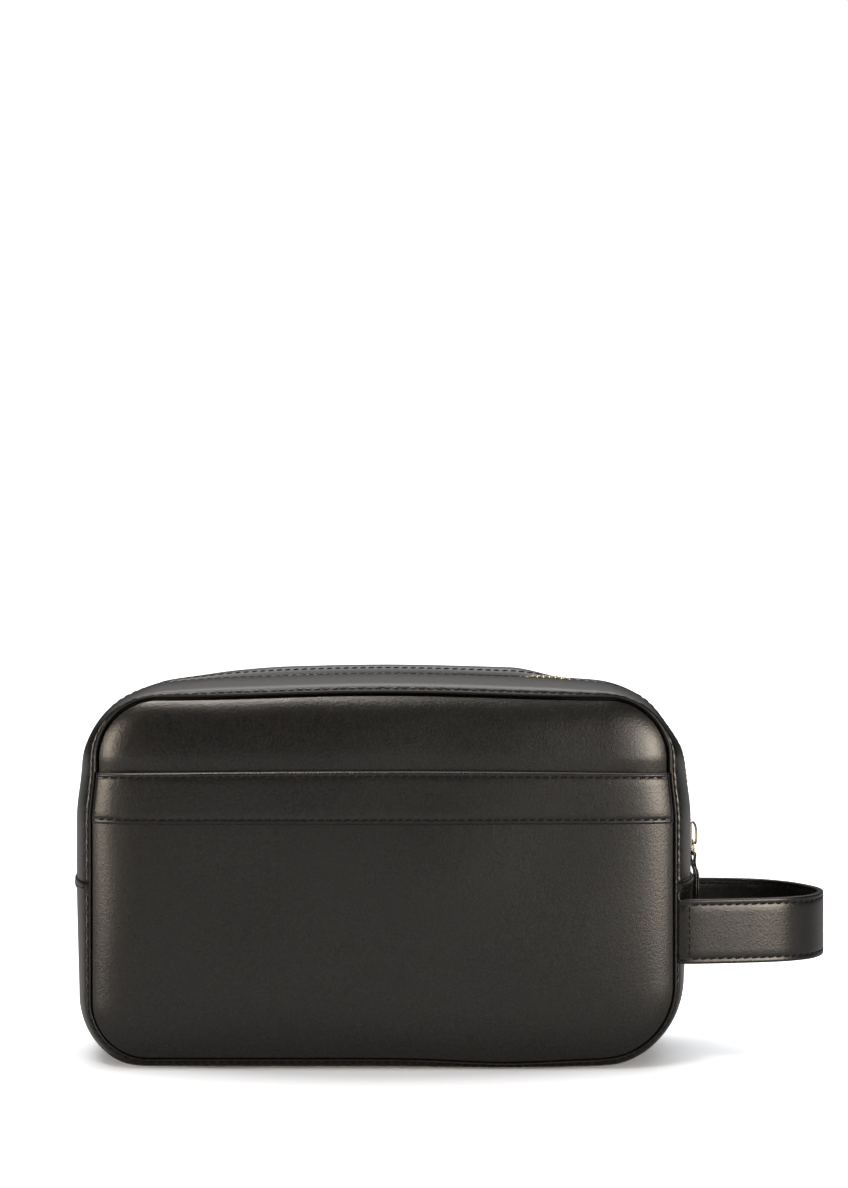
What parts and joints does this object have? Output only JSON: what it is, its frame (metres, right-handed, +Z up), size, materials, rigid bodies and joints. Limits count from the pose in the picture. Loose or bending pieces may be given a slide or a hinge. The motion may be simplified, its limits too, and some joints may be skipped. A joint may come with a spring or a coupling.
{
  "type": "zipped wash bag",
  "caption": "Soft rectangular leather wash bag with rounded corners, a zip round the top, a flat front slip pocket and a side wrist strap loop.",
  "frame": {"origin": "centre of the bag's flat base, on the surface it stands on", "axes": "+X towards the wrist strap, along the bag's width; the pocket side faces -Y; +Z up"},
  "size_m": [0.3033, 0.0849, 0.1559],
  "materials": {
    "leather_body": "smooth semi-matte calf, black",
    "leather_strap": "smooth semi-matte calf, black",
    "leather_trim": "smooth semi-matte calf, black",
    "lining": "fine woven black polyester",
    "foam": "dark open foam sheet",
    "board": "grey fibre board",
    "zip_tape": "black twill zip tape",
    "zip_teeth": "polished pale gold plating",
    "zip_metal": "polished pale gold plating"
  },
  "bodies": {
    "bag": {"back_panel": "leather_body", "front_panel_lower": "leather_body", "pocket_lower": "leather_body", "gusset_bottom": "leather_body", "zip_strip_back": "leather_body", "zip_strip_front_ends": "leather_body", "zip_end_tab_right": "leather_trim", "zip_end_tab_left": "leather_trim", "strap_outer": "leather_strap", "strap_inner": "leather_strap", "back_lining": "lining", "front_lining_lower": "lining", "gusset_lining_lower": "lining", "strip_lining_back": "lining", "strip_lining_front_ends": "lining", "back_foam": "foam", "front_foam_lower": "foam", "base_board": "board", "zip_tape_back": "zip_tape", "zip_tape_front_ends": "zip_tape", "zip_teeth_back": "zip_teeth", "zip_teeth_front_ends": "zip_teeth", "zip_top_stops": "zip_metal", "zip_bottom_stop": "zip_metal"},
    "front_half": {"front_panel_upper": "leather_body", "front_foam_upper": "foam", "front_lining_upper": "lining", "pocket_upper": "leather_body", "pocket_band": "leather_body", "zip_strip_front": "leather_body", "strip_lining_front": "lining", "zip_tape_front": "zip_tape", "zip_teeth_front": "zip_teeth"},
    "slider": {"slider": "zip_metal"},
    "pull_link": {"pull_link": "zip_metal"},
    "puller": {"puller": "leather_trim"}
  },
  "joints": [
    {"name": "mouth_open", "type": "hinge", "parent": "bag", "child": "front_half", "pos_m": [0, -0.0441, 0.09], "axis": [1, 0, 0], "range_deg": [0, 32]},
    {"name": "slider_travel", "type": "slide", "parent": "bag", "child": "slider", "axis": [0, 0, 1], "range_m": [0, 0.025]},
    {"name": "pull_link_swing", "type": "hinge", "parent": "slider", "child": "pull_link", "pos_m": [0.12502, 0, 0.085], "axis": [0, -1, 0], "range_deg": [0, 100]},
    {"name": "puller_swing", "type": "hinge", "parent": "pull_link", "child": "puller", "pos_m": [0.12502, 0, 0.0796], "axis": [0, -1, 0], "range_deg": [0, 50]}
  ]
}
